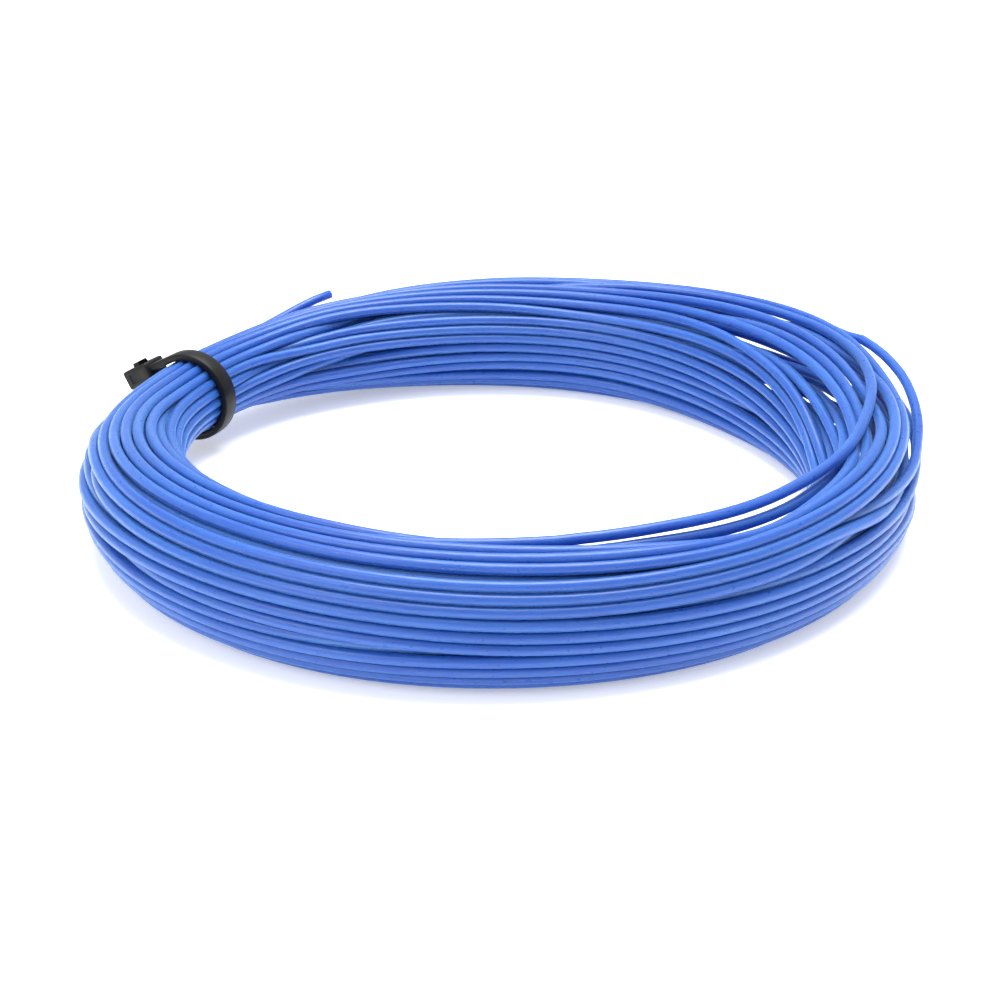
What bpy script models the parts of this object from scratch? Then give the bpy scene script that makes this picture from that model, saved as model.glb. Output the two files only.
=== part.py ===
"""A 12 m set of monofilament racket string, wound into one coil that a small cable tie binds.

Metres, +Z up. The coil lies flat on its underside, with its middle over the origin.
Azimuths are measured round the ring from +X towards +Y. The tie has a plane of its own, at right
angles to the bundle that it binds: "inward" points at the ring's axis and "up" is +Z.
"""

import math

import bmesh
import bpy
from mathutils import Vector

# String
STRING_DIAMETER = 0.0013

# Ring: where the bundle's centre line runs
RING_RADIUS = 0.0452
RING_CENTRE = Vector((-0.00094, -0.00037, 0.0))
BUNDLE_HEIGHT = 0.0074

# Bundle: its outer shape. It is gathered to a round neck under the tie, loose everywhere else,
# a little slimmer opposite the tie and fullest at one place, where the turns have sprung apart.
NECK_RADIUS = 0.0048
NECK_HALF_ANGLE = math.radians(4.5)
LOOSE_HALF_WIDTH = 0.0079
LOOSE_HALF_HEIGHT = 0.0081
SLIMMER_OPPOSITE = 0.0016
SPREAD_ANGLE = math.radians(35.0)
FULL_AZIMUTH = math.radians(30.0)
FULL_ANGLE = math.radians(40.0)
FULL_EXTRA_WIDTH = 0.0021
FULL_EXTRA_HEIGHT = 0.0024
SQUARENESS = 0.85
RING_STATIONS = 96
SECTION_POINTS = 24

# Tie: where it sits, and its strap
TIE_AZIMUTH = math.radians(156.0)
CLEARANCE = 0.0003
STRAP_WIDTH = 0.0025
STRAP_THICKNESS = 0.0010
STRAP_INNER_RADIUS = NECK_RADIUS + CLEARANCE
STRAP_MIDDLE_RADIUS = STRAP_INNER_RADIUS + STRAP_THICKNESS / 2
STRAP_OUTER_RADIUS = STRAP_INNER_RADIUS + STRAP_THICKNESS
ROOT_ANGLE = math.radians(118.0)
TOOTH_PITCH = 0.0009
TOOTH_DEPTH = 0.0002
TAIL_STUB = 0.0005

# Head: a box with a slot through it. "Along" runs from the strap's root outwards, "over" is the
# direction in which the strap's tail leaves the slot; both start at the middle of the neck.
HEAD_ALONG = (0.0033, 0.0076)
HEAD_OVER = (0.00395, 0.0066)
HEAD_WIDTH = 0.0042
HEAD_BEVEL = 0.00035
SLOT_ALONG = (0.00385, STRAP_OUTER_RADIUS + CLEARANCE)
SLOT_WIDTH = STRAP_WIDTH + 2 * CLEARANCE

# Pawl: the tongue in the slot that holds the strap's teeth
PAWL_ROOT_ALONG = (0.00418, 0.00466)
PAWL_TIP_ALONG = (0.0045, 0.0048)
PAWL_OVER = (0.0042, 0.0060)
PAWL_WIDTH = 0.0023

# Free end: azimuth in degrees, distance from the ring's axis and height of each point
FREE_END_ROUTE = (
    (150.0, 0.0494, 0.0118),
    (144.0, 0.0497, 0.0121),
    (138.0, 0.0500, 0.0124),
    (131.0, 0.0505, 0.0129),
    (125.0, 0.0512, 0.0134),
    (118.8, 0.0521, 0.0139),
)
FREE_END_POINTS = 16


def clear_scene():
    for thing in list(bpy.data.objects):
        bpy.data.objects.remove(thing, do_unlink=True)


def plastic(name, colour, roughness):
    """A Principled material for one sub-part."""
    material = bpy.data.materials.new(name)
    material.use_nodes = True
    shader = material.node_tree.nodes["Principled BSDF"]
    shader.inputs["Base Color"].default_value = (*colour, 1.0)
    shader.inputs["Roughness"].default_value = roughness
    shader.inputs["Metallic"].default_value = 0.0
    material.diffuse_color = (*colour, 1.0)
    return material


def place(name, data, material, origin=Vector((0.0, 0.0, 0.0)), parent=None):
    """One object in the scene, with its origin where its joint or its middle is."""
    thing = bpy.data.objects.new(name, data)
    bpy.context.scene.collection.objects.link(thing)
    thing.location = origin
    thing.parent = parent
    data.materials.append(material)
    return thing


def finished_mesh(name, bm):
    bmesh.ops.recalc_face_normals(bm, faces=bm.faces)
    mesh = bpy.data.meshes.new(name)
    bm.to_mesh(mesh)
    bm.free()
    return mesh


def ring_point(azimuth, radius, height):
    """A point given by its azimuth, its distance from the ring's axis and its height."""
    outward = Vector((math.cos(azimuth), math.sin(azimuth), 0.0))
    return RING_CENTRE + outward * radius + Vector((0.0, 0.0, height))


def bundle_half_sizes(azimuth):
    """Half the bundle's width and half its height, at one azimuth."""
    from_tie = abs(math.remainder(azimuth - TIE_AZIMUTH, 2 * math.pi))
    past_neck = max(0.0, from_tie - NECK_HALF_ANGLE)
    looseness = 1.0 - math.exp(-((past_neck / SPREAD_ANGLE) ** 2))
    opposite = (1.0 - math.cos(from_tie)) / 2
    from_full = math.remainder(azimuth - FULL_AZIMUTH, 2 * math.pi)
    fullness = math.exp(-((from_full / FULL_ANGLE) ** 2))
    half_width = LOOSE_HALF_WIDTH - SLIMMER_OPPOSITE * opposite + FULL_EXTRA_WIDTH * fullness
    half_height = LOOSE_HALF_HEIGHT + FULL_EXTRA_HEIGHT * fullness
    return tuple(
        NECK_RADIUS + looseness * (loose - NECK_RADIUS) for loose in (half_width, half_height)
    )


def squared(value, power):
    return math.copysign(abs(value) ** power, value)


def bundle_section(azimuth):
    """The bundle's outline at one azimuth: an oval, flattened where it rests on the ground."""
    half_width, half_height = bundle_half_sizes(azimuth)
    roundness = (half_width - NECK_RADIUS) / (LOOSE_HALF_WIDTH - NECK_RADIUS)
    power = 1.0 - (1.0 - SQUARENESS) * min(1.0, max(0.0, roundness))
    points = []
    for step in range(SECTION_POINTS):
        turn = 2 * math.pi * (step + 0.5) / SECTION_POINTS
        radius = RING_RADIUS + half_width * squared(math.cos(turn), power)
        height = BUNDLE_HEIGHT + half_height * squared(math.sin(turn), power)
        points.append(ring_point(azimuth, radius, max(0.0, height)))
    return points


def make_string_coil(material):
    """The outer shape of all the turns together, as one closed ring."""
    bm = bmesh.new()
    rings = []
    for station in range(RING_STATIONS):
        azimuth = TIE_AZIMUTH + 2 * math.pi * station / RING_STATIONS
        rings.append([bm.verts.new(point) for point in bundle_section(azimuth)])
    for station, ring in enumerate(rings):
        following = rings[(station + 1) % RING_STATIONS]
        for step in range(SECTION_POINTS):
            after = (step + 1) % SECTION_POINTS
            bm.faces.new((ring[step], ring[after], following[after], following[step]))
    mesh = finished_mesh("string_coil", bm)
    mesh.shade_smooth()
    return place("string_coil", mesh, material)


def smooth_route(points, count):
    """Points read from a Catmull-Rom curve through the given ones, evenly spread over its parts."""
    padded = [2 * points[0] - points[1], *points, 2 * points[-1] - points[-2]]
    spans = len(points) - 1
    route = []
    for index in range(count):
        place_on = index * spans / (count - 1)
        span = min(int(place_on), spans - 1)
        t = place_on - span
        a, b, c, d = padded[span : span + 4]
        bend = 2 * a - 5 * b + 4 * c - d
        twist = 3 * b - a - 3 * c + d
        route.append(0.5 * (2 * b + (c - a) * t + bend * t**2 + twist * t**3))
    return route


def make_string_free_end(material):
    """The outer end of the string, which leaves the bundle beside the tie and stands off it."""
    points = [ring_point(math.radians(a), r, z) for a, r, z in FREE_END_ROUTE]
    curve = bpy.data.curves.new("string_free_end", "CURVE")
    curve.dimensions = "3D"
    curve.bevel_depth = STRING_DIAMETER / 2
    curve.bevel_resolution = 2
    curve.use_fill_caps = True
    route = smooth_route(points, FREE_END_POINTS)
    spline = curve.splines.new("POLY")
    spline.points.add(len(route) - 1)
    for point, position in zip(spline.points, route):
        point.co = (*position, 1.0)
    return place("string_free_end", curve, material)


# The tie's plane

NECK_MIDDLE = ring_point(TIE_AZIMUTH, RING_RADIUS, BUNDLE_HEIGHT)
INWARD = Vector((-math.cos(TIE_AZIMUTH), -math.sin(TIE_AZIMUTH), 0.0))
UP = Vector((0.0, 0.0, 1.0))
BUNDLE_DIRECTION = INWARD.cross(UP)
OVER = INWARD * math.cos(ROOT_ANGLE) + UP * math.sin(ROOT_ANGLE)
ALONG = -INWARD * math.sin(ROOT_ANGLE) + UP * math.cos(ROOT_ANGLE)


def in_tie_plane(along, over, across=0.0):
    """A position from the middle of the neck, in the directions that the head is square to."""
    return ALONG * along + OVER * over + BUNDLE_DIRECTION * across


def on_loop(radius, turned):
    """A point of the loop, by how far the strap has turned since it left its root."""
    return (-radius * math.sin(turned), radius * math.cos(turned))


def strap_outline():
    """The strap seen along the bundle: root, three quarters of a turn, then straight out."""
    root_end = HEAD_ALONG[0] - CLEARANCE
    tail_end = HEAD_OVER[1] + TAIL_STUB
    sweep = 1.5 * math.pi
    outer = [(root_end, STRAP_OUTER_RADIUS)]
    arc_steps = 48
    for step in range(arc_steps + 1):
        outer.append(on_loop(STRAP_OUTER_RADIUS, sweep * step / arc_steps))
    outer.append((STRAP_OUTER_RADIUS, tail_end))
    inner = [(STRAP_INNER_RADIUS, tail_end)]
    straight_teeth = int((tail_end - TOOTH_DEPTH) / TOOTH_PITCH)
    for tooth in range(straight_teeth, 0, -1):
        crest = tooth * TOOTH_PITCH
        inner.append((STRAP_INNER_RADIUS, crest))
        inner.append((STRAP_INNER_RADIUS + TOOTH_DEPTH, crest - TOOTH_PITCH * 0.25))
    arc_teeth = int(sweep * STRAP_INNER_RADIUS / TOOTH_PITCH)
    for tooth in range(arc_teeth, 0, -1):
        crest = sweep * tooth / arc_teeth
        valley = sweep * (tooth - 0.25) / arc_teeth
        inner.append(on_loop(STRAP_INNER_RADIUS, crest))
        inner.append(on_loop(STRAP_INNER_RADIUS + TOOTH_DEPTH, valley))
    inner.append(on_loop(STRAP_INNER_RADIUS, 0.0))
    inner.append((root_end, STRAP_INNER_RADIUS))
    return outer + inner


def extruded(name, outline, width):
    """A closed outline in the tie's plane, carried across by its width."""
    bm = bmesh.new()
    near = [bm.verts.new(in_tie_plane(along, over, -width / 2)) for along, over in outline]
    face = bm.faces.new(near)
    made = bmesh.ops.extrude_face_region(bm, geom=[face])
    moved = [item for item in made["geom"] if isinstance(item, bmesh.types.BMVert)]
    bmesh.ops.translate(bm, verts=moved, vec=BUNDLE_DIRECTION * width)
    caps = [item for item in bm.faces if len(item.verts) > 4]
    bmesh.ops.triangulate(bm, faces=caps, ngon_method="EAR_CLIP")
    return finished_mesh(name, bm)


def make_tie_strap(material, axle):
    mesh = extruded("tie_strap", strap_outline(), STRAP_WIDTH)
    mesh.shade_smooth()
    mesh.set_sharp_from_angle(angle=math.radians(30.0))
    return place("tie_strap", mesh, material, parent=axle)


def make_tie_head(material, axle):
    """The box that the strap's tail passes through: outer walls, inner walls and two rims."""
    bm = bmesh.new()
    corners = ((0, -1), (1, -1), (1, 1), (0, 1))
    loops = []
    for spans, width in ((HEAD_ALONG, HEAD_WIDTH), (SLOT_ALONG, SLOT_WIDTH)):
        for over in HEAD_OVER:
            loop = [in_tie_plane(spans[side], over, way * width / 2) for side, way in corners]
            loops.append([bm.verts.new(point) for point in loop])
    outer_low, outer_high, slot_low, slot_high = loops
    for a, b in (
        (outer_low, outer_high),
        (slot_high, slot_low),
        (outer_high, slot_high),
        (slot_low, outer_low),
    ):
        for step in range(4):
            after = (step + 1) % 4
            bm.faces.new((a[step], a[after], b[after], b[step]))
    rounded = [edge for edge in bm.edges if set(edge.verts) <= set(outer_low + outer_high)]
    bmesh.ops.bevel(bm, geom=rounded, offset=HEAD_BEVEL, segments=3, profile=0.5, affect="EDGES")
    mesh = finished_mesh("tie_head", bm)
    mesh.shade_smooth()
    mesh.set_sharp_from_angle(angle=math.radians(40.0))
    return place("tie_head", mesh, material, parent=axle)


def make_tie_pawl(material, axle):
    """A tapering tongue, with its origin at the thin root that it flexes about."""
    low, high = PAWL_OVER
    outline = (
        (PAWL_ROOT_ALONG[0], low),
        (PAWL_ROOT_ALONG[1], low),
        (PAWL_TIP_ALONG[1], high - 0.0008),
        (PAWL_TIP_ALONG[1] - TOOTH_DEPTH, high - 0.0004),
        (PAWL_TIP_ALONG[1], high),
        (PAWL_TIP_ALONG[0], high),
    )
    root = (sum(PAWL_ROOT_ALONG) / 2, low)
    local = [(along - root[0], over - root[1]) for along, over in outline]
    mesh = extruded("tie_pawl", local, PAWL_WIDTH)
    return place("tie_pawl", mesh, material, origin=in_tie_plane(*root), parent=axle)


def main():
    clear_scene()
    string_blue = plastic("string_blue", (0.10, 0.22, 0.66), 0.32)
    tie_black = plastic("tie_black", (0.012, 0.012, 0.014), 0.42)
    make_string_coil(string_blue)
    make_string_free_end(string_blue)
    neck_axle = bpy.data.objects.new("neck_axle", None)
    bpy.context.scene.collection.objects.link(neck_axle)
    neck_axle.location = NECK_MIDDLE
    make_tie_strap(tie_black, neck_axle)
    make_tie_head(tie_black, neck_axle)
    make_tie_pawl(tie_black, neck_axle)


main()
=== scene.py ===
"""Looks for a coil of monofilament racket string that a small cable tie binds.

The string is one tube that follows its whole 12 m. Its turns are laid out by a small relaxation in
the ring's cross-sections: packed in the neck under the tie, and sprung apart everywhere else. The
tie's strap, head and pawl are rebuilt as moulded pieces. Lengths are in metres, +Z is up, and the
frame is the CAD's.
"""

import math

import bmesh
import bpy
import numpy as np
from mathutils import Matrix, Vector


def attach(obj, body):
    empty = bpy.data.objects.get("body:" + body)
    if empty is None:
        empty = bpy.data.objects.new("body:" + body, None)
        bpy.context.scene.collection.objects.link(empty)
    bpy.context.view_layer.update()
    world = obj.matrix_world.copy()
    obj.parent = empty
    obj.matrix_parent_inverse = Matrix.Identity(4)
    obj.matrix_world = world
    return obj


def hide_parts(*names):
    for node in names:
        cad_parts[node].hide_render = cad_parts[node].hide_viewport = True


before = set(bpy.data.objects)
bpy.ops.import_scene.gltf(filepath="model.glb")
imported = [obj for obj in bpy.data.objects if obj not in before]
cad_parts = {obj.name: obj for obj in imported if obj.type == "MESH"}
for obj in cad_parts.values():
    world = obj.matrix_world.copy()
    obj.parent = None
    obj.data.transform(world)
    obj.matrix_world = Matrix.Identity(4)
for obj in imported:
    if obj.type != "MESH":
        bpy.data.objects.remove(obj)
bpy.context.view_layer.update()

# ---------------------------------------------------------------- sizes

# Coil, as in the CAD
RING_RADIUS = 0.0452
RING_CENTRE = Vector((-0.00094, -0.00037, 0.0))
BUNDLE_HEIGHT = 0.0074
NECK_RADIUS = 0.0050  # the string fills most of the clearance that the CAD leaves under the strap
NECK_HALF_ANGLE = math.radians(4.5)
LOOSE_HALF_WIDTH = 0.00812
LOOSE_HALF_HEIGHT = 0.00796
SLIMMER_OPPOSITE = 0.00228
SPREAD_ANGLE = math.radians(35.0)
FULL_AZIMUTH = math.radians(27.5)
FULL_ANGLE = math.radians(34.2)
FULL_EXTRA_WIDTH = 0.00289
FULL_EXTRA_HEIGHT = 0.00224
SQUARENESS = 0.85
OFF_CENTRE = (0.000127, -0.000618)  # of the loose part, which isn't quite centred on the neck's circle
OUT_OF_ROUND = 0.000232
LONGER_WAY = math.radians(64.7)  # the azimuth along which the loose part is longer
TIE_AZIMUTH = math.radians(156.0)

# String
STRING_DIAMETER = 0.0013
STRING_SIDES = 12
TURNS = 42
SLICES = 120
START_AZIMUTH = 118.8  # of the free end's tip, in degrees

# Tie, as in the CAD
ROOT_ANGLE = math.radians(118.0)
STRAP_WIDTH = 0.0025
STRAP_INNER_RADIUS = 0.0051
STRAP_OUTER_RADIUS = 0.0061
TOOTH_PITCH = 0.0009
TOOTH_DEPTH = 0.0002
TAIL_STUB = 0.0005
HEAD_ALONG = (0.0033, 0.0076)
HEAD_OVER = (0.00395, 0.0066)
HEAD_WIDTH = 0.0042
HEAD_BEVEL = 0.00035
SLOT_ALONG = (0.00385, 0.0064)
SLOT_WIDTH = 0.0031
PAWL_WIDTH = 0.0023

# Camera: it looks at the middle of the ring, on the ground
VIEW_ELEVATION = math.radians(23.66)
VIEW_DISTANCE = 0.2405
FRAME_HALF_WIDTH = 0.0636

# Relaxation of the string. A time in it is a share of its rounds.
SEED = 7
ROUNDS = 800
CLEARANCE = 1.01  # the distance between touching turns, in diameters
STARTING_SIZE = 0.35  # in diameters
GROWN_AT = 0.55
SPREAD_UNTIL = 0.75
FILLED_UNTIL = 0.8
AIMED_UNTIL = 0.4
WIDE_SPACING = 0.0019
SPREAD = 1.0e-9
AIM_PULL = 0.001
OUTWARD_PUSH = 3.0e-5
FORWARD_PUSH = 1.0e-5
STEP = 1.7
LOOSE_LEVELLING = 0.2  # while the turns spread
PACKED_LEVELLING = 0.02
END_LEVELLING = 0.6  # at the ends of the stretches whose points are given
LEVELLING_REACH = 2.5
ENDS_BLENDED_FROM = 0.97
NEAR_ENOUGH = 0.2
BLENDING = 0.5
BLENDING_REACH = 1.5
GAP_CLEARING = ((0.3, 0.4), (0.6, 0.25), (0.9, 0.12), (1.0, 0.06))  # times and the values until then
SMOOTHING = ((0.4, 6.0), (0.65, 4.0), (0.85, 2.8), (1.0, 2.0))  # times and reaches in slices

# Stretches of the string whose points are given. Each has its turn, then points with an azimuth in
# degrees and, in millimetres, how far out from the ring's centre line and how far above it they are.
FREE_END = (
    0,
    (
        (118.8, 6.8, 6.0),
        (131.0, 4.3, 3.6),
        (138.0, 3.6, 3.15),
        (144.0, 3.2, 2.95),
        (150.0, 2.95, 2.85),
        (157.0, 2.8, 2.8),
        (170.0, 2.9, 3.4),
    ),
)
INNER_STRAND = (
    30,
    (
        (-90.0, -3.0, 6.3),
        (-72.4, -2.8, 6.5),
        (-65.8, -3.0, 6.5),
        (-58.8, -2.9, 6.3),
        (-51.0, -2.7, 6.2),
        (-40.9, -2.8, 6.1),
        (-29.4, -2.2, 6.2),
        (-22.4, -1.4, 6.6),
        (-10.4, -0.6, 7.2),
        (0.0, 0.9, 7.8),
        (9.5, 2.1, 8.2),
        (22.0, 3.0, 8.3),
        (40.0, 3.6, 8.0),
    ),
)
SECOND_STRAND = (
    17,
    (
        (-80.0, -2.1, 5.5),
        (-72.4, -2.3, 5.25),
        (-65.8, -2.4, 5.05),
        (-58.8, -2.3, 4.75),
        (-51.0, -2.05, 4.6),
        (-40.9, -2.3, 4.2),
        (-35.0, -2.1, 4.35),
        (-29.0, -1.6, 4.9),
    ),
)
UPPER_STRAND = (
    24,
    (
        (30.0, 4.8, 7.4),
        (24.0, 5.2, 6.9),
        (17.0, 5.3, 6.0),
        (11.0, 5.5, 5.1),
        (5.0, 5.45, 4.2),
        (-1.0, 5.1, 3.6),
    ),
)
OUTER_STRAND = (
    35,
    (
        (24.0, 6.5, 4.9),
        (16.0, 6.3, 4.0),
        (8.0, 6.4, 3.2),
        (2.0, 6.6, 2.5),
        (-4.0, 6.5, 1.8),
        (-11.4, 5.5, 1.0),
        (-18.0, 5.1, -0.4),
    ),
)
CORNER_STRAND = (
    8,
    (
        (34.0, 7.3, 8.0),
        (25.0, 7.6, 7.5),
        (15.0, 7.8, 6.6),
        (8.0, 7.5, 5.6),
        (0.0, 6.8, 4.4),
        (-8.0, 6.1, 2.8),
        (-16.0, 5.6, 1.6),
    ),
)
HIDDEN_END = (41, ((80.0, 1.0, 0.0), (95.0, 0.3, -1.0), (115.8, 0.0, -1.2)))
LAID_STRETCHES = (
    FREE_END,
    INNER_STRAND,
    SECOND_STRAND,
    UPPER_STRAND,
    OUTER_STRAND,
    CORNER_STRAND,
    HIDDEN_END,
)

# Gaps to see through. Each has points as above, with the gap's width there in millimetres, negative
# where strings may still cover it, then the turns beyond it, and which way is beyond in the view.
INNER_GAP = (
    (
        (-98.0, -2.8, 5.6, -4.5),
        (-76.0, -2.6, 5.9, 0.0),
        (-65.8, -2.71, 5.78, 0.4),
        (-58.8, -2.62, 5.55, 0.5),
        (-51.0, -2.43, 5.42, 0.55),
        (-40.9, -2.6, 5.15, 0.6),
        (-34.0, -2.3, 5.3, 0.2),
        (-14.0, -1.0, 6.3, -5.0),
    ),
    (30,),
    (0.0, 1.0),
)
SECOND_GAP = (
    (
        (-72.0, -2.0, 4.3, -4.5),
        (-57.0, -1.95, 3.95, 0.0),
        (-51.0, -1.76, 3.75, 0.6),
        (-46.0, -1.93, 3.54, 0.6),
        (-41.0, -2.05, 3.3, 0.0),
        (-26.0, -1.5, 4.0, -4.5),
    ),
    (30, 17),
    (0.0, 1.0),
)
UPPER_SLIT = (
    (
        (34.0, 9.5, 6.6, -4.5),
        (17.5, 7.4, 5.4, 0.2),
        (11.0, 6.6, 5.1, 0.7),
        (5.0, 6.5, 4.6, 0.2),
        (-8.0, 7.0, 3.4, -3.5),
    ),
    (8,),
    (1.0, 0.5),
)
OUTER_SLIT = (
    (
        (13.0, 6.2, 4.6, -4.5),
        (-1.5, 5.9, 2.9, 0.4),
        (-4.6, 5.6, 1.9, 0.9),
        (-7.5, 5.15, 0.9, 0.4),
        (-18.0, 5.0, -1.0, -4.0),
    ),
    (35, 8),
    (1.0, 0.0),
)
GAPS = (INNER_GAP, SECOND_GAP, UPPER_SLIT, OUTER_SLIT)


# ---------------------------------------------------------------- the string's route


def wrapped(angle):
    return (angle + np.pi) % (2 * np.pi) - np.pi


class Section:
    """The bundle's limits at each slice of the ring, for the middle of a string."""

    def __init__(self):
        self.azimuth = math.radians(START_AZIMUTH) + 2 * np.pi * np.arange(SLICES) / SLICES
        from_tie = np.abs(wrapped(self.azimuth - TIE_AZIMUTH))
        past_neck = np.maximum(0.0, from_tie - NECK_HALF_ANGLE)
        self.looseness = 1.0 - np.exp(-((past_neck / SPREAD_ANGLE) ** 2))
        opposite = (1.0 - np.cos(from_tie)) / 2
        fullness = np.exp(-((wrapped(self.azimuth - FULL_AZIMUTH) / FULL_ANGLE) ** 2))
        loose_width = LOOSE_HALF_WIDTH - SLIMMER_OPPOSITE * opposite + FULL_EXTRA_WIDTH * fullness
        loose_height = LOOSE_HALF_HEIGHT + FULL_EXTRA_HEIGHT * fullness
        width = NECK_RADIUS + self.looseness * (loose_width - NECK_RADIUS)
        height = NECK_RADIUS + self.looseness * (loose_height - NECK_RADIUS)
        self.width = width - STRING_DIAMETER / 2
        self.height = height - STRING_DIAMETER / 2
        self.power = 2.0 / (1.0 - (1.0 - SQUARENESS) * self.looseness)
        self.floor = STRING_DIAMETER / 2 - BUNDLE_HEIGHT
        off_centre = OFF_CENTRE[0] * np.cos(self.azimuth) + OFF_CENTRE[1] * np.sin(self.azimuth)
        out_of_round = OUT_OF_ROUND * np.cos(2 * (self.azimuth - LONGER_WAY))
        shift = self.looseness * (off_centre + out_of_round)
        self.middle = np.tile(np.stack([shift, np.zeros(SLICES)], 1), (TURNS, 1))
        self.sizes = np.tile(np.stack([self.width, self.height], 1), (TURNS, 1))

    def pushes(self, place):
        """The moves that fill the bundle's skin: outwards from its middle, and towards the camera."""
        filled = (place - self.middle) / self.sizes
        size = np.sqrt((filled**2).sum(1, keepdims=True))
        nearer = -np.sin(self.azimuth) * math.cos(VIEW_ELEVATION)
        higher = np.full(SLICES, math.sin(VIEW_ELEVATION))
        most = 1.2
        move = OUTWARD_PUSH * filled * np.minimum(size, most) ** 2
        move += FORWARD_PUSH * np.tile(np.stack([nearer, higher], 1), (TURNS, 1))
        return move * np.tile(self.looseness, TURNS)[:, None]

    def kept_inside(self, place):
        grid = (place - self.middle).reshape(TURNS, SLICES, 2)
        across = np.abs(grid[..., 0] / self.width) ** self.power
        up = np.abs(grid[..., 1] / self.height) ** self.power
        size = (across + up) ** (1.0 / self.power)
        grid = grid / np.maximum(1.0, size)[..., None]
        grid[..., 1] = np.maximum(grid[..., 1], self.floor)
        return grid.reshape(-1, 2) + self.middle


def smooth_along(values, reach):
    """A Gaussian average along the string, as many slices wide as reach says."""
    half = int(3 * reach)
    weights = np.exp(-0.5 * (np.arange(-half, half + 1) / reach) ** 2)
    weights /= weights.sum()
    start = np.repeat(values[:1], half, 0)
    end = np.repeat(values[-1:], half, 0)
    padded = np.concatenate([start, values, end])
    return np.stack([np.convolve(padded[:, axis], weights, "valid") for axis in (0, 1)], 1)


def levelled(place, share, reach):
    """The points moved by a share of the way to their average along the string."""
    return (1.0 - share) * place + share * smooth_along(place, reach)


def wandering(rng, count):
    """A slow random walk round the unit disc, mostly near its edge: where the turns tend to lie."""
    knots_per_turn = 0.55
    drift = math.radians(75.0)
    edge_liking = 0.35
    knots = int(TURNS * knots_per_turn) + 4
    angle = np.cumsum(rng.normal(0.0, drift, knots)) + rng.uniform(0.0, 2 * np.pi)
    radius = rng.uniform(0.0, 1.0, knots) ** edge_liking
    at = np.linspace(0, knots - 1, count)
    polar = np.stack([np.interp(at, np.arange(knots), values) for values in (angle, radius)], 1)
    polar = smooth_along(polar, SLICES / knots_per_turn / 4)
    return np.stack([polar[:, 1] * np.cos(polar[:, 0]), polar[:, 1] * np.sin(polar[:, 0])], 1)


class Laid:
    """Where the listed stretches are, and for each point of the string how firmly it is held
    there, how much its neighbours are drawn to it, and how near it is to a stretch's end."""

    def __init__(self, count):
        self.place = np.zeros((count, 2))
        self.hold = np.zeros(count)
        self.pull = np.zeros(count)
        self.near_end = np.zeros(count)
        for turn, points in LAID_STRETCHES:
            self.add(np.arange(count), turn, np.array(points))

    def add(self, index, turn, points):
        pull_reach, hold_reach, end_reach = 14, 6, 9  # in slices past or round a stretch's end
        firm_inside = 3
        lightly = 0.25
        slices = turn * SLICES + ((points[:, 0] - START_AZIMUTH) % 360.0) / 360.0 * SLICES
        order = np.argsort(slices)
        slices, points = slices[order], points[order]
        near = (index > slices[0] - pull_reach) & (index < slices[-1] + pull_reach)
        at = index[near]
        route = np.stack([np.interp(at, slices, points[:, axis]) for axis in (1, 2)], 1) / 1000
        self.place[near] = smooth_along(route, 1.5)
        from_start = at - slices[0]
        from_end = slices[-1] - at
        if turn == 0:
            inside = from_end
        elif turn == TURNS - 1:
            inside = from_start
        else:
            inside = np.minimum(from_start, from_end)
        ramp = lightly * np.clip((inside + hold_reach) / (hold_reach + firm_inside), 0.0, 1.0) ** 2
        self.hold[near] = np.where(inside >= firm_inside, 1.0, ramp)
        self.pull[near] = np.clip((inside + pull_reach) / pull_reach, 0.0, 1.0)
        self.near_end[near] = np.clip(1.0 - np.abs(inside) / end_reach, 0.0, 1.0)

    def held(self, place):
        return place * (1.0 - self.hold[:, None]) + self.place * self.hold[:, None]

    def drawn(self, place):
        return place * (1.0 - self.pull[:, None]) + self.place * self.pull[:, None]


def in_view(azimuth, offsets):
    """Where points appear in the view, in metres at the ring's middle, and the scale they are seen at."""
    radius = RING_RADIUS + offsets[..., 0]
    right = radius * np.cos(azimuth)
    back = radius * np.sin(azimuth)
    up = BUNDLE_HEIGHT + offsets[..., 1]
    tilt, rise = math.sin(VIEW_ELEVATION), math.cos(VIEW_ELEVATION)
    scale = VIEW_DISTANCE / (VIEW_DISTANCE + back * rise - up * tilt)
    return np.stack([right, back * tilt + up * rise], -1) * scale[..., None], scale


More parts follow.
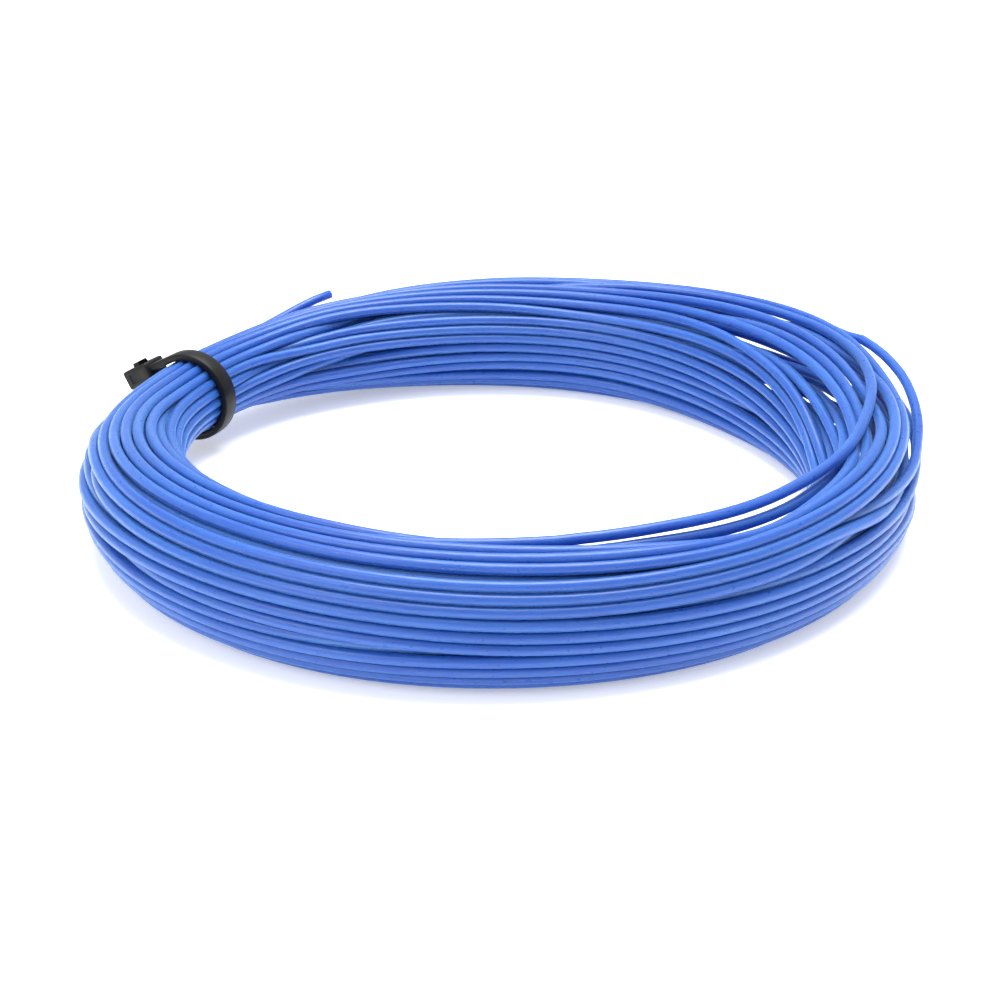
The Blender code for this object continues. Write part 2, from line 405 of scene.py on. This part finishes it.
class Gap:
    """A gap between turns that the camera can see through, as a line in the view."""

    def __init__(self, points, turns_beyond, way_beyond):
        points = np.array(points)
        line, _ = in_view(np.radians(points[:, 0]), points[:, 1:3] / 1000)
        self.start = line[0]
        self.ahead = (line[-1] - line[0]) / np.linalg.norm(line[-1] - line[0])
        across = np.array([-self.ahead[1], self.ahead[0]])
        self.across = across * np.sign(across @ np.array(way_beyond))
        self.line = (line - line[0]) @ np.stack([self.ahead, self.across], 1)
        self.width = points[:, 3] / 1000
        self.turns_beyond = list(turns_beyond)
        ends = np.radians([points[:, 0].min(), points[:, 0].max()])
        past_ends = math.radians(4.0)
        self.middle = ends.mean()
        self.reach = (ends[1] - ends[0]) / 2 + past_ends

    def clearing_moves(self, grid, azimuth):
        """The moves that take the turns on this side out of the gap."""
        seen, scale = in_view(azimuth, grid)
        along = (seen - self.start) @ self.ahead
        line_offset = np.interp(along, self.line[:, 0], self.line[:, 1])
        offset = (seen - self.start) @ self.across - line_offset
        wanted = (STRING_DIAMETER + np.interp(along, self.line[:, 0], self.width)) / 2
        near = (np.abs(wrapped(azimuth - self.middle)) < self.reach)[None]
        inside = (along > 0.0) & (along < self.line[-1, 0]) & near
        excess = np.maximum(0.0, offset + wanted) * inside
        excess[self.turns_beyond] = 0.0
        tilt, rise = math.sin(VIEW_ELEVATION), math.cos(VIEW_ELEVATION)
        outward = self.across[0] * np.cos(azimuth) + self.across[1] * np.sin(azimuth) * tilt
        gradient = np.stack([outward * scale, self.across[1] * rise * scale], -1)
        return -gradient / (gradient**2).sum(-1, keepdims=True) * excess[..., None]


def pushes_apart(grid, near):
    """The moves that take overlapping turns apart."""
    share = 0.42
    return turn_moves(grid, lambda distance: share * np.maximum(0.0, near - distance))


def pushes_spreading(grid, spacing, spread):
    """The moves that space the turns out and press them towards the bundle's skin."""
    share = 0.12

    def push_at(distance):
        return share * np.maximum(0.0, spacing - distance) + spread / distance

    return turn_moves(grid, push_at)


def turn_moves(grid, push_at):
    """The sum of every turn's pushes on the others in its slice, each along the line between them."""
    same = np.arange(TURNS)
    gap = grid[:, None] - grid[None]
    distance = np.sqrt((gap**2).sum(-1)) + 1e-9
    distance[same, same] = 1.0
    return (gap * (push_at(distance) / distance)[..., None]).sum(1)


def by_stage(done, stages):
    """The value of the first stage that isn't over. Each stage has its end and its value."""
    for end, value in stages:
        if done < end:
            return value
    return stages[-1][1]


def relaxed_route():
    """Every point's offset from the ring's centre line: outwards and up.

    The string passes each slice of the ring once a turn. In a slice its passes are discs, which may
    touch but not overlap, and they grow to full size while the string relaxes.
    """
    rng = np.random.default_rng(SEED)
    count = TURNS * SLICES
    section = Section()
    laid = Laid(count)
    gaps = [Gap(*gap) for gap in GAPS]
    aim = smooth_along(laid.drawn(wandering(rng, count) * section.sizes + section.middle), 4.0)
    place = laid.held(aim)
    spacing = STRING_DIAMETER + (WIDE_SPACING - STRING_DIAMETER) * section.looseness
    for step in range(ROUNDS):
        done = step / ROUNDS
        spreading = done < SPREAD_UNTIL
        growth = min(1.0, STARTING_SIZE + (1.0 - STARTING_SIZE) * done / GROWN_AT)
        size = STRING_DIAMETER * CLEARANCE * growth
        grid = place.reshape(TURNS, SLICES, 2)
        move = pushes_apart(grid, size)
        if spreading:
            move += pushes_spreading(grid, spacing, SPREAD * section.looseness)
        strength = by_stage(done, GAP_CLEARING)
        for gap in gaps:
            move += strength * gap.clearing_moves(grid, section.azimuth)
        move = move.reshape(count, 2)
        if done < AIMED_UNTIL:
            move += AIM_PULL * (aim - place)
        if done < FILLED_UNTIL:
            move += section.pushes(place)
        place = place + STEP * smooth_along(move, by_stage(done, SMOOTHING))
        levelling = LOOSE_LEVELLING if spreading else PACKED_LEVELLING
        levelling = np.maximum(levelling, END_LEVELLING * laid.near_end)[:, None]
        place = levelled(place, levelling, LEVELLING_REACH)
        place = laid.held(section.kept_inside(place))
        if done > ENDS_BLENDED_FROM:
            levelling = BLENDING * (laid.near_end > NEAR_ENOUGH)[:, None]
            place = levelled(place, levelling, BLENDING_REACH)
    return place


def string_points():
    """The string's centre line, from its free end to its hidden end."""
    place = relaxed_route()
    azimuth = math.radians(START_AZIMUTH) + 2 * np.pi * np.arange(len(place)) / SLICES
    radius = RING_RADIUS + place[:, 0]
    across = RING_CENTRE.x + radius * np.cos(azimuth)
    back = RING_CENTRE.y + radius * np.sin(azimuth)
    return np.stack([across, back, BUNDLE_HEIGHT + place[:, 1]], 1)


# ---------------------------------------------------------------- mesh helpers


def linked(name, mesh, material):
    thing = bpy.data.objects.new(name, mesh)
    bpy.context.scene.collection.objects.link(thing)
    mesh.materials.clear()
    mesh.materials.append(material)
    return thing


def lofted(name, rings, material):
    """A closed skin over rings of points: rings has the shape (stations, points, 3)."""
    stations, sides = rings.shape[:2]
    low = np.arange(stations - 1)[:, None] * sides
    here = low + np.arange(sides)
    after = low + (np.arange(sides) + 1) % sides
    faces = np.stack([here, here + sides, after + sides, after], -1).reshape(-1, 4).tolist()
    faces.append(list(range(sides)))
    faces.append(list(range((stations - 1) * sides, stations * sides))[::-1])
    mesh = bpy.data.meshes.new(name)
    mesh.from_pydata(rings.reshape(-1, 3).tolist(), [], faces)
    return linked(name, mesh, material)


def applied(thing):
    """The object with its modifiers made part of its mesh."""
    graph = bpy.context.evaluated_depsgraph_get()
    mesh = bpy.data.meshes.new_from_object(thing.evaluated_get(graph))
    thing.modifiers.clear()
    thing.data = mesh
    return thing


def shaded(thing, sharp_degrees):
    thing.data.shade_smooth()
    thing.data.set_sharp_from_angle(angle=math.radians(sharp_degrees))
    return thing


# ---------------------------------------------------------------- string


def string_rings(points):
    """Rings of points round the string's centre line, which don't twist from one to the next."""
    ahead = np.gradient(points, axis=0)
    ahead /= np.linalg.norm(ahead, axis=1)[:, None]
    side = np.zeros_like(points)
    side[0] = np.cross(ahead[0], (0.0, 0.0, 1.0))
    side[0] /= np.linalg.norm(side[0])
    for index in range(1, len(points)):
        across = side[index - 1] - ahead[index] * (side[index - 1] @ ahead[index])
        side[index] = across / np.linalg.norm(across)
    other = np.cross(ahead, side)
    turn = 2 * np.pi * np.arange(STRING_SIDES) / STRING_SIDES
    spokes = np.cos(turn)[:, None] * side[:, None] + np.sin(turn)[:, None] * other[:, None]
    return points[:, None] + STRING_DIAMETER / 2 * spokes, turn


def with_cut_ends(rings, points):
    """The rings with a fine bevel where the string was cut."""
    bevel = 0.00008
    shrink = 1.0 - 2 * bevel / STRING_DIAMETER
    start = points[0] + (rings[0] - points[0]) * shrink
    end = points[-1] + (rings[-1] - points[-1]) * shrink
    start_back = (points[0] - points[1]) / np.linalg.norm(points[0] - points[1]) * bevel
    end_back = (points[-1] - points[-2]) / np.linalg.norm(points[-1] - points[-2]) * bevel
    return np.concatenate([[start + start_back], rings, [end + end_back]])


def make_string(points, material):
    rings, turn = string_rings(points)
    rings = with_cut_ends(rings, points)
    string = lofted("string", rings, material)
    shaded(string, 60.0)
    arc = np.concatenate([[0.0], np.cumsum(np.linalg.norm(np.diff(points, axis=0), axis=1))])
    arc = np.concatenate([[arc[0]], arc, [arc[-1]]])
    round_it = np.empty(rings.shape)
    round_it[..., 0] = np.cos(turn)
    round_it[..., 1] = np.sin(turn)
    round_it[..., 2] = arc[:, None]
    attribute = string.data.attributes.new("round_and_along", "FLOAT_VECTOR", "POINT")
    attribute.data.foreach_set("vector", round_it.reshape(-1))
    return string


# ---------------------------------------------------------------- tie


def tie_axes():
    inward = np.array([-math.cos(TIE_AZIMUTH), -math.sin(TIE_AZIMUTH), 0.0])
    up = np.array([0.0, 0.0, 1.0])
    over = inward * math.cos(ROOT_ANGLE) + up * math.sin(ROOT_ANGLE)
    along = -inward * math.sin(ROOT_ANGLE) + up * math.cos(ROOT_ANGLE)
    middle = np.array(RING_CENTRE) - inward * RING_RADIUS + up * BUNDLE_HEIGHT
    return middle, along, over, np.cross(inward, up)


TIE_MIDDLE, TIE_ALONG, TIE_OVER, TIE_ACROSS = tie_axes()


def in_tie(points):
    """World positions of points given along the head, over the bundle and across the strap."""
    points = np.asarray(points)
    return TIE_MIDDLE + points @ np.stack([TIE_ALONG, TIE_OVER, TIE_ACROSS])


def strap_stations():
    """Along the strap: distance from its root, a place on its outer face, and the way inwards."""
    into_head = 0.0003
    root = HEAD_ALONG[0] + into_head
    sweep = 1.5 * math.pi
    arc = sweep * STRAP_INNER_RADIUS
    tail = HEAD_OVER[1] + TAIL_STUB
    phases = np.array([0.0, 0.3, 0.6, 0.72, 0.78])
    teeth = int((root + arc + tail) / TOOTH_PITCH) + 1
    distances = (np.arange(teeth)[:, None] + phases[None]).reshape(-1) * TOOTH_PITCH
    distances = np.append(distances[distances < root + arc + tail - 0.0001], root + arc + tail)
    stations = []
    for distance in distances:
        if distance < root:
            place, inward = (root - distance, STRAP_OUTER_RADIUS), (0.0, -1.0)
        elif distance < root + arc:
            turned = (distance - root) / STRAP_INNER_RADIUS
            inward = (math.sin(turned), -math.cos(turned))
            place = (-STRAP_OUTER_RADIUS * inward[0], -STRAP_OUTER_RADIUS * inward[1])
        else:
            place, inward = (STRAP_OUTER_RADIUS, distance - root - arc), (-1.0, 0.0)
        stations.append((distance, place, inward))
    return stations, root + arc + tail


def strap_profile(field_depth, half_width):
    """The strap's section as (across, depth below its outer face): a crown, and rails beside the
    toothed field, which lies field_depth above the inner face."""
    thickness = STRAP_OUTER_RADIUS - STRAP_INNER_RADIUS
    corner = 0.00022
    rail = 0.00035
    crown = 0.00004
    top = [(-half_width + corner, crown), (0.0, 0.0), (half_width - corner, crown)]
    turned = corner * 0.3
    right = [(half_width - turned, turned + crown), (half_width, corner + crown)]
    right += [(half_width, thickness - corner), (half_width - turned, thickness - turned)]
    floor_edge = half_width - rail
    floor = [
        (half_width - corner, thickness),
        (floor_edge + 0.00005, thickness),
        (floor_edge - 0.00003, thickness - field_depth),
        (-floor_edge + 0.00003, thickness - field_depth),
        (-floor_edge - 0.00005, thickness),
        (-half_width + corner, thickness),
    ]
    left = [(-across, depth) for across, depth in reversed(right)]
    return top + right + floor + left


def make_strap(material):
    stations, length = strap_stations()
    toothed_from = 0.0045
    tooth_crest, tooth_drop = 0.72, 0.75  # shares of the pitch
    below_rails = 0.15  # the crests' depth below the rails, as a share of a tooth's depth
    flare, flare_length = 0.00045, 0.0012  # at the root
    taper, taper_length = 0.0002, 0.0004  # at the cut end
    rings = []
    for distance, place, inward in stations:
        phase = (distance / TOOTH_PITCH) % 1.0
        rise = min(1.0, phase / tooth_crest) if phase < tooth_drop else 0.0
        depth = TOOTH_DEPTH * (1.0 + below_rails - rise)
        if distance <= toothed_from:
            depth = TOOTH_DEPTH * below_rails
        wider = flare * max(0.0, 1.0 - distance / flare_length) ** 2
        narrower = taper * max(0.0, 1.0 - (length - distance) / taper_length)
        profile = strap_profile(depth, STRAP_WIDTH / 2 + wider - narrower)
        ring = [
            (place[0] + inward[0] * below, place[1] + inward[1] * below, across)
            for across, below in profile
        ]
        rings.append(in_tie(ring))
    strap = lofted("tie_strap_moulding", np.array(rings)[:, ::-1], material)
    return shaded(strap, 35.0)


def tie_block(name, along, over, width, material):
    """A block that is square to the head, from its spans along, over and its width across."""
    corners = [
        (a, o, w) for a in along for o in over for w in (-width / 2, width / 2)
    ]
    faces = ((0, 1, 3, 2), (4, 6, 7, 5), (0, 4, 5, 1), (2, 3, 7, 6), (0, 2, 6, 4), (1, 5, 7, 3))
    bm = bmesh.new()
    verts = [bm.verts.new(point) for point in in_tie(corners)]
    for face in faces:
        bm.faces.new([verts[index] for index in face])
    bmesh.ops.recalc_face_normals(bm, faces=bm.faces[:])
    mesh = bpy.data.meshes.new(name)
    bm.to_mesh(mesh)
    bm.free()
    return linked(name, mesh, material)


def cut_or_joined(thing, tool, operation):
    modifier = thing.modifiers.new(operation.lower(), "BOOLEAN")
    modifier.operation = operation
    modifier.object = tool
    applied(thing)
    bpy.data.objects.remove(tool)


def bevelled(thing, width, segments, above_degrees=30.0):
    modifier = thing.modifiers.new("bevel", "BEVEL")
    modifier.width = width
    modifier.segments = segments
    modifier.limit_method = "ANGLE"
    modifier.angle_limit = math.radians(above_degrees)
    modifier.use_clamp_overlap = True
    return applied(thing)


def make_head(material):
    """The box that the tail passes through, with a slot, a recess in each side and the pawl's foot."""
    head = tie_block("tie_head_moulding", HEAD_ALONG, HEAD_OVER, HEAD_WIDTH, material)
    bevelled(head, HEAD_BEVEL, 4)
    past = 0.001
    through = (HEAD_OVER[0] - past, HEAD_OVER[1] + past)
    cut_or_joined(head, tie_block("slot", SLOT_ALONG, through, SLOT_WIDTH, material), "DIFFERENCE")
    mouth_depth = 0.0003
    mouth = (HEAD_OVER[1] - mouth_depth, HEAD_OVER[1] + past)
    wider = 0.00016
    mouth_along = (SLOT_ALONG[0] - wider, SLOT_ALONG[1] + wider)
    mouth_width = SLOT_WIDTH + 2 * wider
    cut_or_joined(head, tie_block("mouth", mouth_along, mouth, mouth_width, material), "DIFFERENCE")
    recess_along, recess_over, recess_width = (0.0044, 0.0066), (0.0046, 0.00595), 0.0004
    recess_place = HEAD_WIDTH / 2 + 0.0001
    for way in (-1, 1):
        recess = tie_block("recess", recess_along, recess_over, recess_width, material)
        recess.location = TIE_ACROSS * way * recess_place
        bpy.context.view_layer.update()
        cut_or_joined(head, recess, "DIFFERENCE")
    foot_along = (SLOT_ALONG[0] - 0.0001, 0.00411)
    foot = tie_block("foot", foot_along, (0.00405, 0.0045), PAWL_WIDTH, material)
    cut_or_joined(head, foot, "UNION")
    bevelled(head, 0.00005, 2)
    return shaded(head, 35.0)


def make_pawl(material):
    """The tongue in the slot: a thin root, a back that tapers, and three teeth towards the strap."""
    outline = (
        (0.00418, 0.0042),
        (0.00466, 0.0042),
        (0.00482, 0.0047),
        (0.00499, 0.00495),
        (0.00484, 0.0051),
        (0.00501, 0.00536),
        (0.00486, 0.00551),
        (0.00502, 0.00577),
        (0.00488, 0.0060),
        (0.0045, 0.0060),
        (0.0043, 0.0052),
    )
    bm = bmesh.new()
    verts = []
    for across in (-PAWL_WIDTH / 2, PAWL_WIDTH / 2):
        points = in_tie([(along, over, across) for along, over in outline])
        verts.append([bm.verts.new(point) for point in points])
    count = len(outline)
    bm.faces.new(verts[0])
    bm.faces.new(verts[1][::-1])
    for index in range(count):
        after = (index + 1) % count
        bm.faces.new((verts[0][index], verts[1][index], verts[1][after], verts[0][after]))
    bmesh.ops.recalc_face_normals(bm, faces=bm.faces[:])
    mesh = bpy.data.meshes.new("tie_pawl_tongue")
    bm.to_mesh(mesh)
    bm.free()
    pawl = linked("tie_pawl_tongue", mesh, material)
    bevelled(pawl, 0.00003, 2)
    return shaded(pawl, 35.0)


# ---------------------------------------------------------------- materials


class Nodes:
    """Short calls for a material's nodes and links."""

    def __init__(self, name):
        self.material = bpy.data.materials.new(name)
        self.material.use_nodes = True
        self.tree = self.material.node_tree
        self.shader = self.tree.nodes["Principled BSDF"]

    def add(self, kind, inputs=(), **settings):
        node = self.tree.nodes.new(kind)
        for name, value in settings.items():
            setattr(node, name, value)
        for socket, value in dict(inputs).items():
            self.set(node, socket, value)
        return node

    def set(self, node, socket, value):
        if isinstance(value, bpy.types.NodeSocket):
            self.tree.links.new(value, node.inputs[socket])
        else:
            node.inputs[socket].default_value = value

    def noise(self, vector, scale, detail, roughness=0.5):
        inputs = {"Vector": vector, "Scale": scale, "Detail": detail, "Roughness": roughness}
        return self.add("ShaderNodeTexNoise", inputs).outputs["Fac"]

    def ramp(self, value, low, high, stops=(0.3, 0.7)):
        """The value's range between the stops, spread from low to high."""
        inputs = {
            "Value": value,
            "From Min": stops[0],
            "From Max": stops[1],
            "To Min": low,
            "To Max": high,
        }
        return self.add("ShaderNodeMapRange", inputs).outputs["Result"]

    def scaled(self, vector, factors):
        inputs = {0: vector, 1: factors}
        return self.add("ShaderNodeVectorMath", inputs, operation="MULTIPLY").outputs["Vector"]

    def mixed(self, amount, low, high):
        node = self.add("ShaderNodeMix", data_type="RGBA")
        for index, value in ((0, amount), (6, low), (7, high)):
            self.set(node, index, value)
        return node.outputs[2]

    def bump(self, height, strength, distance, normal=None):
        inputs = {"Height": height, "Strength": strength, "Distance": distance}
        if normal is not None:
            inputs["Normal"] = normal
        return self.add("ShaderNodeBump", inputs).outputs["Normal"]


def string_material():
    """Blue translucent monofilament: cloudy colour, drawing lines along it and a soft gloss."""
    nodes = Nodes("blue_monofilament")
    coords = nodes.add("ShaderNodeAttribute", attribute_name="round_and_along").outputs["Vector"]
    clouds = nodes.noise(nodes.scaled(coords, (0.6, 0.6, 55.0)), 1.0, 3.0)
    streaks = nodes.noise(nodes.scaled(coords, (5.5, 5.5, 45.0)), 1.0, 2.0)
    scuffs = nodes.noise(nodes.scaled(coords, (1.6, 1.6, 900.0)), 1.0, 3.0, 0.55)
    deep, pale = (0.011, 0.080, 0.370, 1.0), (0.024, 0.122, 0.440, 1.0)
    base = nodes.mixed(nodes.ramp(clouds, 0.0, 1.0), deep, pale)
    milky = (0.055, 0.17, 0.48, 1.0)
    color = nodes.mixed(nodes.ramp(streaks, 0.0, 0.35, (0.5, 0.8)), base, milky)
    roughness = nodes.ramp(scuffs, 0.26, 0.44)
    lines = nodes.bump(streaks, 0.22, 0.00003)
    normal = nodes.bump(scuffs, 0.08, 0.00001, lines)
    values = {
        "Base Color": color,
        "Roughness": roughness,
        "Normal": normal,
        "IOR": 1.53,
        "Subsurface Weight": 1.0,
        "Subsurface Radius": (0.35, 0.6, 1.0),
        "Subsurface Scale": 0.0025,
        "Sheen Weight": 0.5,
        "Sheen Roughness": 0.4,
        "Sheen Tint": (0.28, 0.56, 1.0, 1.0),
    }
    for socket, value in values.items():
        nodes.set(nodes.shader, socket, value)
    return nodes.material


def nylon_material():
    """Black moulded nylon: a fine grain, satin, with faintly greyer patches where it was handled."""
    nodes = Nodes("black_nylon")
    coords = nodes.add("ShaderNodeTexCoord").outputs["Object"]
    grain = nodes.noise(coords, 9000.0, 3.0, 0.6)
    patches = nodes.noise(coords, 700.0, 3.0)
    black, grey = (0.0025, 0.0025, 0.003, 1.0), (0.006, 0.006, 0.007, 1.0)
    color = nodes.mixed(nodes.ramp(patches, 0.0, 1.0), black, grey)
    values = {
        "Base Color": color,
        "Roughness": nodes.ramp(patches, 0.36, 0.52),
        "Normal": nodes.bump(grain, 0.25, 0.00002),
        "IOR": 1.53,
        "Specular IOR Level": 0.25,
    }
    for socket, value in values.items():
        nodes.set(nodes.shader, socket, value)
    return nodes.material


def floor_material():
    nodes = Nodes("pale_floor")
    nodes.set(nodes.shader, "Base Color", (0.94, 0.94, 0.94, 1.0))
    nodes.set(nodes.shader, "Roughness", 0.8)
    nodes.set(nodes.shader, "Emission Color", (1.0, 1.0, 1.0, 1.0))
    nodes.set(nodes.shader, "Emission Strength", 0.35)
    return nodes.material


# ---------------------------------------------------------------- stage


def aimed(thing, target):
    direction = Vector(target) - thing.location
    thing.rotation_euler = direction.to_track_quat("-Z", "Y").to_euler()


def add_camera():
    data = bpy.data.cameras.new("camera")
    camera = bpy.data.objects.new("camera", data)
    bpy.context.scene.collection.objects.link(camera)
    back = Vector((0.0, -math.cos(VIEW_ELEVATION), math.sin(VIEW_ELEVATION)))
    camera.location = RING_CENTRE + back * VIEW_DISTANCE
    aimed(camera, RING_CENTRE)
    data.lens = data.sensor_width / 2 * VIEW_DISTANCE / FRAME_HALF_WIDTH
    data.clip_start = 0.01
    bpy.context.scene.camera = camera


def add_light(name, place, size, power):
    data = bpy.data.lights.new(name, "AREA")
    data.shape = "DISK"
    data.size = size
    data.energy = power
    light = bpy.data.objects.new(name, data)
    bpy.context.scene.collection.objects.link(light)
    light.location = place
    aimed(light, RING_CENTRE)


def add_world():
    world = bpy.data.worlds.new("studio")
    bpy.context.scene.world = world
    world.use_nodes = True
    background = world.node_tree.nodes["Background"]
    background.inputs["Color"].default_value = (1.0, 1.0, 1.0, 1.0)
    background.inputs["Strength"].default_value = 0.74


def add_stage():
    add_world()
    just_below = -0.00005
    bpy.ops.mesh.primitive_plane_add(size=60.0, location=(0.0, 0.0, just_below))
    floor = bpy.context.object
    floor.name = "floor"
    floor.data.materials.append(floor_material())
    add_light("overhead", (0.05, 0.12, 0.7), 0.6, 7.5)
    add_light("front_left", (-0.5, -0.4, 0.5), 0.5, 2.0)


# ---------------------------------------------------------------- the object


def stand_in(piece, body, slot, *nodes):
    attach(piece, body)
    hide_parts(*nodes)


def main():
    bpy.context.scene.view_settings.view_transform = "Standard"
    add_camera()
    points = string_points()
    string = make_string(points, string_material())
    stand_in(string, "coil", "string", "string_coil", "string_free_end")
    nylon = nylon_material()
    stand_in(make_strap(nylon), "tie", "tie", "tie_strap")
    stand_in(make_head(nylon), "tie", "tie", "tie_head")
    stand_in(make_pawl(nylon), "pawl", "tie", "tie_pawl")
    add_stage()


main()
